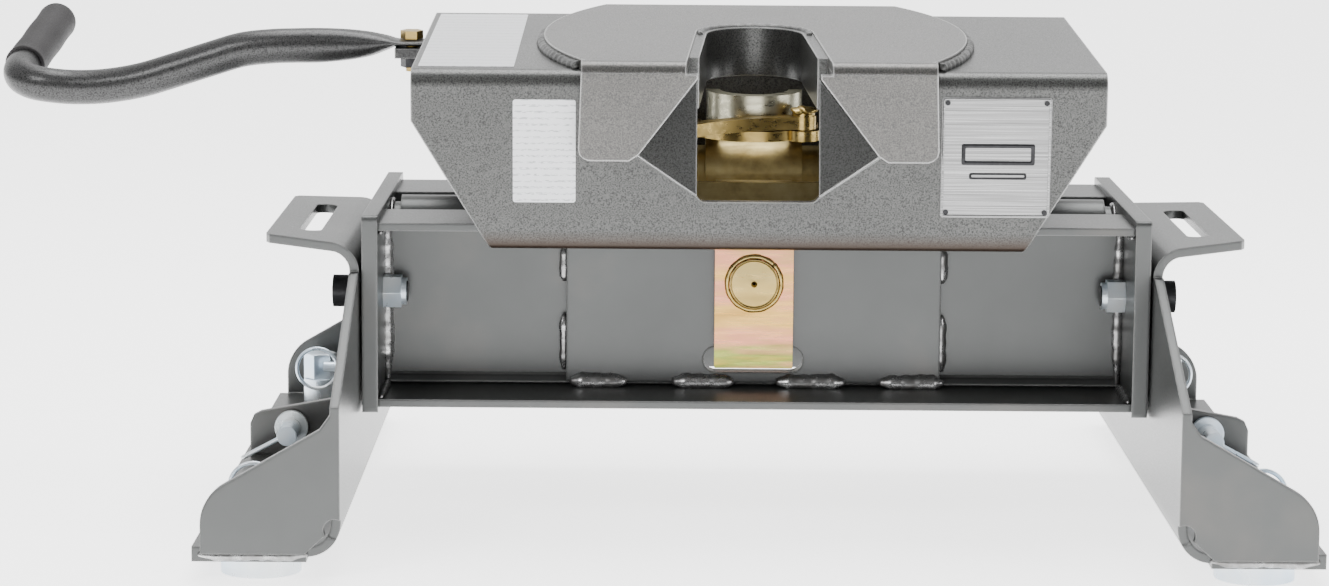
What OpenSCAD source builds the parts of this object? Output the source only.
// Fifth wheel hitch: rail-mounted base, two-axis gold rocker, tilting head, swinging jaw and pull handle.
// X to the right, Y away from the throat opening, Z up. Origin: floor level, centre of the four foot pucks.

/* [Feet and uprights] */
// Distance between foot puck centres along X
puck_span_x = 726; // [720:1:732]
// Distance between foot puck centres along Y
puck_span_y = 562; // [558:1:566]
// Diameter of a foot puck
puck_d = 59; // [54:1:60]
// Sheet thickness of the uprights
leg_t = 7; // [6:0.5:8]
// Reach of the foot flange along X
foot_reach = 410; // [408:1:414]

/* [Base] */
// Half length of the rails
rail_half = 288; // [286:1:290]
// Height of the underside of the rails
rail_z0 = 95; // [92:1:98]
// Height of the top of the rails
rail_z1 = 237; // [236:1:238]
// Height of the roll pin
roll_z = 184; // [182:1:186]
// Diameter of the roll pin
roll_pin_d = 38; // [36:1:40]

/* [Head] */
// Height of the pitch shaft
pitch_z = 262; // [261:1:263]
// Resting nose-down tilt of the head in degrees
tilt = 3.2; // [0:0.1:5]
// Half width of the head plate along X
head_half_x = 260.5; // [258:0.5:262]
// Half depth of the head plate along Y
head_half_y = 167; // [166:0.5:168]
// Height of the head plate's top, before it is tilted
head_z = 366.5; // [365:0.5:368]
// Sheet thickness of the head plate
head_t = 8; // [7:0.5:8]
// Thickness of the wear plate
wear_t = 8; // [8:0.5:9]
// Radius of the throat for the kingpin
throat_r = 38; // [37.5:0.5:39]

/* [Handle] */
// Diameter of the handle tube
tube_d = 28.6; // [26:0.2:29]
// Diameter of the grip
grip_d = 33; // [31:0.5:34]

/* [Hidden] */
$fn = 48;
rail_y = 137;
web_y = 61;
rail_t = 6;
doubler_half = 146;
doubler_t = 10;
end_x0 = rail_half;
end_x1 = rail_half + 12;
end_half_y = 142;
leg_x = 302;
flange_y = 320;
foot_z = 13;
bend_r = 25;
bolt_x = puck_span_x / 2 + 8;
upright_bolt_z = 176;
upright_bolt_y = 78;
slot_half = 39;
slot_z = 122.5;
slot_r = 10;
skirt_z = 229.5;
window_z = 268;
facet_low = 271.5;
facet_mid = 303;
king = [0, -4];
jaw_pivot = [-57, 0];
lever_pin = [38, -40];
jaw_z = 295;
bar_y = 67;
bar_z = 343;
bracket_x = 166;
wear_r = 339.6;
wear_c = [-174.2, -13.1];
tube_path = [[-350, 351.2], [-370, 350.8], [-389, 350], [-412, 347.2], [-436, 340], [-465, 330.6],
    [-495, 321.5], [-524, 316.6], [-550, 315.6], [-572, 317.5]];
steel = [0.52, 0.52, 0.51];
zinc = [0.78, 0.81, 0.84];
gold = [0.76, 0.62, 0.30];
black = [0.08, 0.08, 0.09];

// ---------- helpers ----------

// Places a shape of the level head into its resting tilt about the pitch shaft.
module head_frame() {
    translate([0, 0, pitch_z]) rotate([tilt, 0, 0]) translate([0, 0, -pitch_z]) children();
}

// Extrudes an outline drawn in Y and Z along X, centred on X = 0.
module along_x(length) {
    rotate([90, 0, 90]) translate([0, 0, -length / 2]) linear_extrude(length) children();
}

// Extrudes an outline drawn in X and Z along Y, from y0 towards +Y.
module along_y(y0, length) {
    translate([0, y0 + length, 0]) rotate([90, 0, 0]) linear_extrude(length) children();
}

// Rectangle with round corners, from its two opposite corners.
module round_rect(low, high, r) {
    size = high - low;
    translate(low + [r, 0]) square(size - [2 * r, 0]);
    translate(low + [0, r]) square(size - [0, 2 * r]);
    for (x = [low.x + r, high.x - r], y = [low.y + r, high.y - r]) translate([x, y]) circle(r);
}

// Slot with round ends along X.
module slot2d(half, r) {
    square([2 * (half - r), 2 * r], center = true);
    for (s = [-1, 1]) translate([s * (half - r), 0]) circle(r);
}

module both_sides() {
    children();
    mirror([1, 0, 0]) children();
}

module four_corners(x, y) {
    for (sx = [-1, 1], sy = [-1, 1]) translate([sx * x, sy * y, 0]) children();
}

// Hexagonal bar across flats, axis Z.
module hex(across, height) {
    cylinder(d = across / cos(30), h = height, $fn = 6);
}

// ---------- base ----------

module channel() {
    difference() {
        union() {
            translate([-rail_half, -web_y, rail_z0]) cube([2 * rail_half, rail_t, rail_z1 - rail_z0]);
            for (z = [rail_z0, rail_z1 - rail_t])
                translate([-rail_half, -rail_y, z]) cube([2 * rail_half, rail_y - web_y + 1, rail_t]);
        }
        translate([0, -web_y - 5, roll_z]) rotate([-90, 0, 0]) cylinder(d = roll_pin_d + 0.1, h = 20);
        along_y(-web_y - 5, 20) translate([0, slot_z]) slot2d(slot_half, slot_r);
    }
}

module front_rail() { color(steel) channel(); }

module rear_rail() { color(steel) mirror([0, 1, 0]) channel(); }

module end_plate() {
    difference() {
        along_x_at(end_x0, end_x1 - end_x0) round_rect([-end_half_y, 91], [end_half_y, 243], 4);
        for (s = [-1, 1]) translate([end_x0 - 1, s * upright_bolt_y, upright_bolt_z])
            rotate([0, 90, 0]) cylinder(d = 16.1, h = 20);
    }
}

// Extrudes an outline drawn in Y and Z along +X from x0.
module along_x_at(x0, length) {
    translate([x0, 0, 0]) rotate([90, 0, 90]) linear_extrude(length) children();
}

module right_end_plate() { color(steel) end_plate(); }

module left_end_plate() { color(steel) mirror([1, 0, 0]) end_plate(); }

module doubler() {
    difference() {
        along_y(-web_y - doubler_t, doubler_t) round_rect([-doubler_half, 104], [doubler_half, 229], 2);
        translate([0, -web_y - doubler_t - 1, roll_z]) rotate([-90, 0, 0])
            cylinder(d = roll_pin_d + 0.1, h = doubler_t + 2);
        along_y(-web_y - doubler_t - 1, doubler_t + 2) translate([0, slot_z]) slot2d(slot_half, slot_r);
    }
}

module front_doubler_plate() { color(steel) doubler(); }

module rear_doubler_plate() { color(steel) mirror([0, 1, 0]) doubler(); }

spreader_z = 219;
spreader_x0 = 204;

module spreader_tubes() {
    color(steel) both_sides() difference() {
        union() {
            translate([spreader_x0, 0, spreader_z]) rotate([0, 90, 0]) cylinder(d = 45, h = 75);
            translate([279, 0, spreader_z]) rotate([0, 90, 0]) cylinder(d = 34, h = 9);
        }
        translate([spreader_x0 - 1, 0, spreader_z]) rotate([0, 90, 0]) cylinder(d = 36, h = 70);
    }
}

module spreader_ribs() {
    color(steel) both_sides() translate([spreader_x0 - 8, -web_y + rail_t, 120])
        cube([8, 2 * (web_y - rail_t), 117]);
}

// Side view of an upright's web in Y and Z.
module leg_side() {
    polygon([[-end_half_y, 200], [-150, 200], [-flange_y, 128], [-flange_y, 42], [-flange_y + 30, 42],
        [flange_y - 30, 42], [flange_y, 42], [flange_y, 128], [150, 200], [end_half_y, 200]]);
}

// Points along an arc from angle a0 to a1 around a centre.
function arc_points(centre, r, a0, a1, steps) =
    [for (i = [0 : steps]) let (a = a0 + (a1 - a0) * i / steps) centre + r * [cos(a), sin(a)]];

// Front view of a bent-out leg flange in X and Z, with a sloping top edge that rounds into its outer edge.
module flange_outline() {
    r = 34;
    x1 = 403;
    slope = 30;
    polygon(concat([[leg_x, 44], [328, 20], [x1, 20]], arc_points([x1 - r, 41.6], r, 0, 90 - slope, 12),
        [[316.7, 111.3], [309, 122], [305, 126], [leg_x, 128]]));
}

// Section of the lifting ear in X and Z: a bend out of the web, then a flat that rises slightly outwards.
module ear_section() {
    r = 22;
    rise = 3;
    bend = [leg_x + r, 200];
    tip = 380;
    polygon(concat([[leg_x + leg_t, 190], [leg_x, 190]], arc_points(bend, r, 180, 90 + rise, 14),
        [[tip, bend.y + r + 3]], [[tip, bend.y + r + 3 - leg_t]],
        arc_points(bend, r - leg_t, 90 + rise, 180, 14)));
}

// Plan of the lifting ear, narrower at its tip than at its root.
module ear_plan() {
    tip = 376;
    root = leg_x + leg_t + 1;
    polygon([[leg_x - 1, -end_half_y], [root, -end_half_y], [322, -137], [tip - 3, -112], [tip, -106],
        [tip, 118], [tip - 3, 124], [322, 138], [root, end_half_y], [leg_x - 1, end_half_y]]);
}

// Right upright: web, front and rear flanges, foot flange, and lifting ear with its hand slot.
module upright() {
    difference() {
        union() {
            along_x_at(leg_x, leg_t) leg_side();
            for (s = [-1, 1]) along_y(s * flange_y - (s > 0 ? leg_t : 0), leg_t) flange_outline();
            along_y(-flange_y + leg_t, 2 * (flange_y - leg_t)) difference() {
                translate([leg_x + bend_r, foot_z + bend_r + 4]) circle(bend_r);
                translate([leg_x + bend_r, foot_z + bend_r + 4]) circle(bend_r - leg_t);
                translate([leg_x + bend_r, foot_z]) square([bend_r + 1, 60]);
                translate([leg_x - 1, foot_z + bend_r + 4]) square([60, 60]);
            }
            translate([leg_x + bend_r, -flange_y + leg_t, foot_z])
                cube([foot_reach - leg_x - bend_r, 2 * (flange_y - leg_t), leg_t + 4]);
            translate([leg_x, -flange_y + leg_t, foot_z + bend_r + 4])
                cube([leg_t, 2 * (flange_y - leg_t), 6]);
            intersection() {
                along_y(-end_half_y, 2 * end_half_y) ear_section();
                translate([0, 0, 150]) linear_extrude(120) ear_plan();
            }
        }
        translate([leg_x + 43, 0, 200]) rotate([0, 0, 90]) linear_extrude(50) slot2d(79, 8.5);
        for (s = [-1, 1]) translate([leg_x - 5, s * upright_bolt_y, upright_bolt_z])
            rotate([0, 90, 0]) cylinder(d = 16.1, h = 20);
        for (s = [-1, 1]) translate([bolt_x, s * puck_span_y / 2, 0]) cylinder(d = 16.1, h = 40);
        for (s = [-1, 1]) along_y(s * (flange_y - 2) - 6, 12) translate([leg_x + 4, 38]) circle(8);
        for (y = lock_pins) translate([leg_x + 3, y, lock_z]) rotate([0, 90, 0])
            cylinder(d = lock_d + 0.1, h = 12);
    }
}

module right_upright() { color(steel) upright(); }

module left_upright() { color(steel) mirror([1, 0, 0]) upright(); }

// Height and places along Y of the wire-lock pins through the upright's web
lock_d = 9;
lock_pins = [-puck_span_y / 2 + 32, puck_span_y / 2 - 22];
lock_z = 57;

gusset_y = 30;
pull_x = 371;
pull_z = 48;

module mid_gusset() {
    difference() {
        along_y(gusset_y, leg_t) difference() {
            polygon([[leg_x + leg_t, 46], [leg_x + bend_r + 4, foot_z + leg_t + 4], [405, foot_z + leg_t + 4],
                [405, 50], [402, 57], [396, 60], [leg_x + leg_t, 76]]);
        }
        translate([pull_x, gusset_y - 1, pull_z]) rotate([-90, 0, 0]) cylinder(d = 16.1, h = leg_t + 2);
    }
}

module right_mid_gusset() { color(steel) mid_gusset(); }

module left_mid_gusset() { color(steel) mirror([1, 0, 0]) mid_gusset(); }

module foot_pucks() {
    color(zinc) four_corners(puck_span_x / 2, puck_span_y / 2) cylinder(d = puck_d, h = foot_z);
}

module anchor_bolts() {
    color(zinc) for (sx = [-1, 1], sy = [-1, 1]) translate([sx * bolt_x, sy * puck_span_y / 2, 0]) {
        translate([0, 0, foot_z]) cylinder(d = 16, h = 32);
        translate([0, 0, 44]) intersection() {
            rotate([0, 0, 12]) hex(25, 22);
            rotate_extrude() polygon([[0, 0], [20, 0], [20, 19], [12, 22], [0, 22]]);
        }
    }
}

module anchor_sleeves() {
    color(zinc) for (sx = [-1, 1], sy = [-1, 1]) translate([sx * bolt_x, sy * puck_span_y / 2, 24])
        difference() {
            cylinder(d = 29, h = 20);
            translate([0, 0, -1]) cylinder(d = 16.1, h = 22);
        }
}

module at_upright_bolts() {
    for (sx = [-1, 1], sy = [-1, 1])
        translate([sx * leg_x, sy * upright_bolt_y, upright_bolt_z]) rotate([0, sx * 90, 0]) children();
}

module upright_bolts() {
    color(black) at_upright_bolts() {
        translate([0, 0, -33]) cylinder(d = 16, h = 36 + leg_t);
        translate([0, 0, leg_t + 2]) cylinder(d = 25, h = 16);
        translate([0, 0, leg_t + 18]) hex(14, 0.6);
    }
}

module upright_washers() {
    color(zinc) at_upright_bolts() translate([0, 0, leg_t]) difference() {
        cylinder(d = 28, h = 2);
        translate([0, 0, -1]) cylinder(d = 16.1, h = 4);
    }
}

module upright_nuts() {
    color(zinc) at_upright_bolts() difference() {
        union() {
            translate([0, 0, -28]) rotate([0, 0, 30]) hex(23.8, 14);
            translate([0, 0, -32]) cylinder(d = 21, h = 4);
        }
        translate([0, 0, -33]) cylinder(d = 16.1, h = 30);
    }
}

// Wire-lock pin: a pin along X above each anchor bolt's head, with its snap hoop around the end.
module wire_lock() {
    hoop_r = 17.5;
    lock_y = 22;
    translate([bolt_x, 0, lock_z]) {
        translate([leg_x + 3.4 - bolt_x, -lock_y, 0]) rotate([0, 90, 0]) cylinder(d = lock_d, h = 60.6);
        translate([0, -lock_y - 8, 0]) rotate([90, 0, 0]) rotate_extrude() translate([hoop_r, 0]) circle(1.6);
        translate([-hoop_r, -lock_y - 9.5, 0]) rotate([-90, 0, 0]) cylinder(d = 3.2, h = 9);
    }
}

module wire_lock_front_right() { color(zinc) translate([0, -puck_span_y / 2 + 54, 0]) wire_lock(); }

module wire_lock_front_left() {
    color(zinc) mirror([1, 0, 0]) translate([0, -puck_span_y / 2 + 54, 0]) wire_lock();
}

module wire_lock_rear_right() { color(zinc) translate([0, puck_span_y / 2, 0]) wire_lock(); }

module wire_lock_rear_left() { color(zinc) mirror([1, 0, 0]) translate([0, puck_span_y / 2, 0]) wire_lock(); }

module pull_pin() {
    translate([pull_x, gusset_y - 45, pull_z]) rotate([-90, 0, 0]) {
        cylinder(d = 16, h = 85);
        translate([0, 0, 38]) cylinder(d = 27, h = 5);
    }
}

module right_pull_pin() { color(zinc) pull_pin(); }

module left_pull_pin() { color(zinc) mirror([1, 0, 0]) pull_pin(); }

// Hairpin clip through the pull pin's end: two wire legs that run outward and down to a loop.
module hairpin() {
    translate([pull_x, gusset_y - 36, pull_z]) rotate([0, 28, 0]) {
        for (s = [-1, 1]) translate([8.2, s * 3.2, 0]) rotate([0, 90, 0]) cylinder(d = 3, h = 30);
        translate([38.2, 0, 0]) rotate([0, 0, -90]) rotate_extrude(angle = 180)
            translate([3.2, 0]) circle(1.5);
    }
}

module right_hairpin() { color(zinc) hairpin(); }

module left_hairpin() { color(zinc) mirror([1, 0, 0]) hairpin(); }

// ---------- rocker ----------

boss_r = 28;
shaft_r = 15;

module rocker() {
    color(gold) difference() {
        union() {
            translate([0, -52, roll_z]) rotate([-90, 0, 0]) cylinder(r = 34, h = 104);
            translate([-30, -50, roll_z]) cube([60, 100, 250 - roll_z]);
            translate([-30, -28, 240]) cube([60, 56, pitch_z - 240]);
            translate([-38, 0, pitch_z]) rotate([0, 90, 0]) cylinder(r = boss_r, h = 76);
            translate([-bracket_x + 4, 0, pitch_z]) rotate([0, 90, 0])
                cylinder(r = 21, h = 2 * bracket_x - 8);
            translate([-60, -50, 240]) cube([120, 9, 19.4]);
            translate([-30, -50, 236]) cube([60, 22, 23]);
        }
        translate([0, -60, roll_z]) rotate([-90, 0, 0]) cylinder(d = roll_pin_d + 0.04, h = 120);
        translate([-bracket_x, 0, pitch_z]) rotate([0, 90, 0])
            cylinder(r = shaft_r + 0.05, h = 2 * bracket_x);
    }
}

module roll_pin() {
    color(gold) {
        difference() {
            translate([0, -84, roll_z]) rotate([-90, 0, 0]) cylinder(d = roll_pin_d, h = 172);
            translate([0, -84.5, roll_z]) rotate([-90, 0, 0]) cylinder(d1 = 5, d2 = 0.2, h = 3);
        }
    }
}

module pin_strap() {
    strap_y = -web_y - doubler_t - 8;
    color(gold) difference() {
        union() {
            along_y(strap_y, 6) round_rect([-30.5, 117], [30.5, 223], 1);
            translate([-28, strap_y + 1, 117.5]) cube([56, 24, 6]);
        }
        translate([0, strap_y - 1, roll_z]) rotate([-90, 0, 0]) cylinder(d = roll_pin_d + 0.04, h = 8);
    }
}

module roll_pin_nut() {
    color(gold) translate([0, web_y + doubler_t + 1, roll_z]) rotate([-90, 0, 0]) difference() {
        cylinder(d = 58, h = 10);
        translate([0, 0, -1]) cylinder(d = roll_pin_d + 0.04, h = 12);
    }
}

module pitch_shaft() {
    color(zinc) head_frame() translate([-bracket_x - 17, 0, pitch_z]) rotate([0, 90, 0])
        cylinder(r = shaft_r, h = 2 * bracket_x + 34);
}

module shaft_rings() {
    color(zinc) head_frame() both_sides() translate([bracket_x + 12.5, 0, pitch_z]) rotate([0, 90, 0])
        difference() {
            cylinder(r = 20, h = 3);
            translate([0, 0, -1]) cylinder(r = shaft_r + 0.02, h = 5);
        }
}

// ---------- head ----------

module shaft_brackets() {
    color(steel) head_frame() both_sides() difference() {
        union() {
            along_x_at(bracket_x, 12) polygon([[-22, pitch_z], [-34, head_z - head_t], [34, head_z - head_t],
                [22, pitch_z]]);
            translate([bracket_x, 0, pitch_z]) rotate([0, 90, 0]) cylinder(r = 22, h = 12);
        }
        translate([bracket_x - 1, 0, pitch_z]) rotate([0, 90, 0]) cylinder(r = shaft_r + 0.02, h = 14);
    }
}

// Plan of the throat: a half circle at the back, widening a little towards the open front.
module throat2d(half) {
    flare = 10;
    translate(king) circle(half);
    polygon([[-half, king.y], [-half - flare, -200], [half + flare, -200], [half, king.y]]);
}

// Front view of the head in X and Z.
module head_front_outline() {
    polygon([[-200, skirt_z - 1], [200, skirt_z - 1], [head_half_x, 328], [head_half_x, 380],
        [-head_half_x, 380], [-head_half_x, 328]]);
}

module head_plate() {
    color(steel) head_frame() difference() {
        intersection() {
            along_x(2 * head_half_x) difference() {
                round_rect([-head_half_y, skirt_z], [head_half_y, head_z], 12);
                round_rect([-head_half_y + head_t, skirt_z + head_t],
                    [head_half_y - head_t, head_z - head_t], 4);
                translate([-head_half_y + 20, 200]) square([2 * head_half_y - 40, 100]);
            }
            along_y(-200, 400) head_front_outline();
        }
        translate([0, 0, head_z - head_t - 1]) linear_extrude(20) throat2d(throat_r + 8);
        along_y(-200, 50) round_rect([-46, window_z], [46, 400], 7);
        along_y(-200, 50) for (s = [-1, 1])
            polygon([[s * 45, facet_low], [s * 92, facet_mid], [s * 45, 368]]);
    }
}

// One folded-in facet beside the throat window, as a thin tetrahedral plate.
module guide_facet() {
    y0 = -head_half_y;
    depth = 26;
    a = [91.5, y0, facet_mid];
    b = [46, y0, facet_low + 0.5];
    c = [46, y0 + depth, head_z - head_t - 1];
    back = [-2, 5, 0];
    polyhedron(points = [a, b, c, a + back, b + [0, 5, 0], c + [0, 5, 0]],
        faces = [[0, 1, 2], [5, 4, 3], [0, 3, 4, 1], [1, 4, 5, 2], [2, 5, 3, 0]]);
}

module throat_guides() { color(steel) head_frame() both_sides() guide_facet(); }

// Plan of the wear plate: two large arcs between a straight front and rear edge.
module wear_outline() {
    intersection() {
        translate(wear_c) circle(wear_r, $fn = 160);
        translate([-wear_c.x, wear_c.y]) circle(wear_r, $fn = 160);
        translate([-200, -head_half_y + 2]) square([400, 2 * head_half_y - 12]);
    }
}

// Front view of one bent-down lobe of the wear plate in X and Z.
module lobe_outline() {
    polygon([[46, head_z + wear_t - 8], [46, head_z + wear_t - 12], [90, 304.5], [97, 300], [127, 300],
        [131, 301.5], [134, 304.5], [135, 309], [133, head_z + wear_t - 8]]);
}

module wear_plate() {
    bend = 10;
    top = head_z + wear_t;
    front = -head_half_y - wear_t;
    color(steel) head_frame() difference() {
        union() {
            translate([0, 0, head_z]) linear_extrude(wear_t) wear_outline();
            both_sides() along_y(front, wear_t - 0.1) lobe_outline();
            along_x_span(46, 133) difference() {
                translate([front, head_z - 4]) square([wear_t + 4, wear_t + 4]);
                difference() {
                    translate([front, top - bend]) square(bend);
                    translate([front + bend, top - bend]) circle(bend);
                }
                translate([front + wear_t, head_z - 5]) square([10, 5]);
            }
        }
        translate([0, 0, head_z - 1]) linear_extrude(20) throat2d(throat_r + 8);
    }
}

// Extrudes a Y-Z outline along X on both sides, between |x0| and |x1|.
module along_x_span(x0, x1) {
    for (x = [-x1, x0]) along_x_at(x, x1 - x0) children();
}

module throat_collar() {
    color(steel) head_frame() translate([0, 0, 334]) linear_extrude(head_z + wear_t - 335.5) difference() {
        intersection() {
            throat2d(throat_r + 8);
            translate([-100, -135]) square([200, 250]);
        }
        throat2d(throat_r);
    }
}

module jaw_carrier() {
    color(steel) head_frame() difference() {
        translate([0, 0, 334]) linear_extrude(6) difference() {
            union() {
                translate([-78, -58]) square([156, 108]);
                translate([-80, 50]) square([160, head_half_y - head_t - 50]);
            }
            throat2d(throat_r + 8);
        }
        translate([jaw_pivot.x, jaw_pivot.y, 330]) cylinder(d = 18.04, h = 20);
    }
}

module jaw_pivot_pin() {
    color(zinc) head_frame() translate([jaw_pivot.x, jaw_pivot.y, 0]) {
        translate([0, 0, jaw_z - 2]) cylinder(d = 18, h = 47);
        translate([0, 0, jaw_z - 6]) cylinder(d = 26, h = 5.5);
    }
}

// Plan of the jaw: a half ring around the kingpin's front, with its pivot eye on the left.
module jaw_plan(inner, outer) {
    difference() {
        translate(king) circle(outer);
        translate(king) circle(inner);
        translate([-100, king.y]) square([200, 100]);
    }
}

module jaw() {
    color(gold) head_frame() difference() {
        translate([0, 0, jaw_z]) linear_extrude(8) {
            jaw_plan(27, 51);
            translate(jaw_pivot) circle(16);
            translate(lever_pin) circle(13);
        }
        translate([jaw_pivot.x, jaw_pivot.y, jaw_z - 1]) cylinder(d = 18.1, h = 12);
    }
}

module jaw_face() {
    color([0.66, 0.62, 0.45]) head_frame() translate([0, 0, jaw_z + 8]) linear_extrude(26) jaw_plan(27, 38);
}

module jaw_lever() {
    color(gold) head_frame() translate([0, 0, jaw_z + 9]) linear_extrude(10) difference() {
        union() {
            difference() {
                translate([55, -190]) circle(155, $fn = 120);
                translate([55, -190]) circle(143, $fn = 120);
                translate([36, -400]) square([300, 500]);
                translate([-400, -400]) square([346, 500]);
                translate([-400, -400]) square([800, 290]);
            }
            translate(lever_pin) circle(10);
        }
        translate(lever_pin) circle(7.05);
    }
}

module lever_weld_pin() {
    color(gold) head_frame() translate([lever_pin.x, lever_pin.y, jaw_z + 8]) {
        cylinder(r = 7, h = 14);
        translate([0, 0, 11]) cylinder(r = 9, h = 3);
    }
}

// ---------- handle ----------

module handle_bar() {
    color(gold) head_frame() difference() {
        translate([0, 0, bar_z]) linear_extrude(8) {
            translate([-288, bar_y - 15]) square([232, 30]);
            translate([-76, -96]) square([20, bar_y + 96]);
        }
        translate([-275, bar_y, bar_z - 1]) cylinder(d = 10.1, h = 10);
        translate([-66, -86, bar_z - 1]) cylinder(d = 10.04, h = 10);
    }
}

module drive_pin() {
    color(gold) head_frame() translate([-66, -86, 0]) {
        translate([0, 0, jaw_z + 22]) cylinder(d = 10, h = bar_z + 11 - jaw_z - 22);
    }
}

module bar_guide() {
    color(steel) head_frame() translate([-236, 0, 0]) along_x_at(0, 24) difference() {
        translate([bar_y - 24, bar_z - 7]) square([48, head_z - head_t - bar_z + 7]);
        translate([bar_y - 16, bar_z - 1]) square([32, head_z - head_t - bar_z + 2]);
    }
}

grip_start = [-596, bar_y + 24, 325];
grip_rise = 11;
grip_lean = 5;
grip_stub = 126;

// Direction of the path at point i, from its neighbours.
function path_dir(path, i) =
    let (step = path[min(i + 1, len(path) - 1)] - path[max(i - 1, 0)]) step / norm(step);

// One ring of the swept tube: wide is its half width level with the ground, tall its half height.
function ring(centre, dir, wide, tall, sides) =
    let (level = cross([0, 0, 1], dir), side = level / norm(level), up = cross(dir, side))
    [for (k = [0 : sides - 1]) let (turn = 360 * k / sides)
        centre + side * wide * cos(turn) + up * tall * sin(turn)];

// Closed tube along path; sizes holds one [wide, tall] pair for each point.
module sweep(path, sizes, sides) {
    rings = [for (i = [0 : len(path) - 1]) ring(path[i], path_dir(path, i), sizes[i][0], sizes[i][1], sides)];
    last = len(path) - 1;
    walls = [for (i = [0 : last - 1], k = [0 : sides - 1])
        let (a = i * sides + k, b = i * sides + (k + 1) % sides) [a, a + sides, b + sides, b]];
    caps = [[for (k = [0 : sides - 1]) k], [for (k = [sides - 1 : -1 : 0]) last * sides + k]];
    polyhedron(points = [for (r = rings) each r], faces = concat(walls, caps));
}

module handle_tube() {
    r = tube_d / 2;
    rise = [sin(grip_lean) * cos(grip_rise), cos(grip_lean) * cos(grip_rise), sin(grip_rise)];
    flat = [[-264, bar_y, 354.3], [-288, bar_y, 354.3], [-294, bar_y, 354], [-306, bar_y, 353],
        [-318, bar_y, 352.3], [-332, bar_y, 351.8]];
    bend = [[-585, bar_y + 3, 320], [-592, bar_y + 11, 322.5], grip_start, grip_start + 8 * rise,
        grip_start + 9 * rise, grip_start + grip_stub * rise];
    path = concat(flat, [for (p = tube_path) [p.x, bar_y, p.y]], bend);
    stub_r = r - 2;
    sizes = concat([[17, 3], [17, 3], [16.5, 5.8], [15.5, 9.4], [15, 11.6], [r, r - 1]],
        [for (p = tube_path) [r, r]],
        [[r, r], [r, r], [r, r], [r, r], [stub_r, stub_r], [stub_r, stub_r]]);
    color([0.25, 0.25, 0.25]) head_frame() difference() {
        sweep(path, sizes, 24);
        translate([-275, bar_y, 345]) cylinder(d = 10.1, h = 20);
    }
}

module handle_grip() {
    color(black) head_frame() translate(grip_start) rotate([0, 0, -grip_lean]) rotate([-90 + grip_rise, 0, 0])
    difference() {
        translate([0, 0, 14]) rotate_extrude() polygon([[0, 0], [grip_d / 2 - 1, 0], [grip_d / 2, 1],
            [grip_d / 2, 116], [grip_d / 2 - 5, 121], [0, 121]]);
        translate([0, 0, 10]) cylinder(d = tube_d - 4 + 0.04, h = 116.5);
    }
}

module handle_bolt() {
    color(gold) head_frame() translate([-275, bar_y, 0]) {
        translate([0, 0, 331]) cylinder(d = 10, h = 27);
        translate([0, 0, 357.5]) hex(16, 6.5);
    }
}

module handle_nut() {
    color(gold) head_frame() translate([-275, bar_y, 334.5]) difference() {
        hex(16, 8.5);
        translate([0, 0, -1]) cylinder(d = 10.05, h = 11);
    }
}

// ---------- plates and labels ----------

module nameplate() {
    color(zinc) head_frame() along_y(-head_half_y - 1.2, 1.2) round_rect([137, 258], [219, 349], 2);
}

module nameplate_rivets() {
    color(black) head_frame() for (x = [141, 215], z = [262, 345])
        translate([x, -head_half_y - 1.2, z]) rotate([90, 0, 0]) cylinder(d = 4, h = 0.8);
}

module instruction_label() {
    color("white") head_frame() along_y(-head_half_y - 0.4, 0.4) round_rect([-184, 267], [-137, 345], 2);
}

module top_label() {
    color("white") head_frame() translate([0, 0, head_z]) linear_extrude(0.4)
        round_rect([-256, -148], [-184, 146], 2);
}

front_rail();
rear_rail();
left_end_plate();
right_end_plate();
front_doubler_plate();
rear_doubler_plate();
spreader_tubes();
spreader_ribs();
left_upright();
right_upright();
left_mid_gusset();
right_mid_gusset();
foot_pucks();
anchor_bolts();
anchor_sleeves();
upright_bolts();
upright_nuts();
upright_washers();
wire_lock_front_left();
wire_lock_front_right();
wire_lock_rear_left();
wire_lock_rear_right();
left_pull_pin();
right_pull_pin();
left_hairpin();
right_hairpin();
rocker();
roll_pin();
pin_strap();
roll_pin_nut();
pitch_shaft();
shaft_rings();
shaft_brackets();
head_plate();
wear_plate();
throat_collar();
throat_guides();
jaw_carrier();
jaw_pivot_pin();
jaw();
jaw_face();
jaw_lever();
lever_weld_pin();
handle_bar();
bar_guide();
drive_pin();
handle_tube();
handle_grip();
handle_bolt();
handle_nut();
nameplate();
nameplate_rivets();
instruction_label();
top_label();
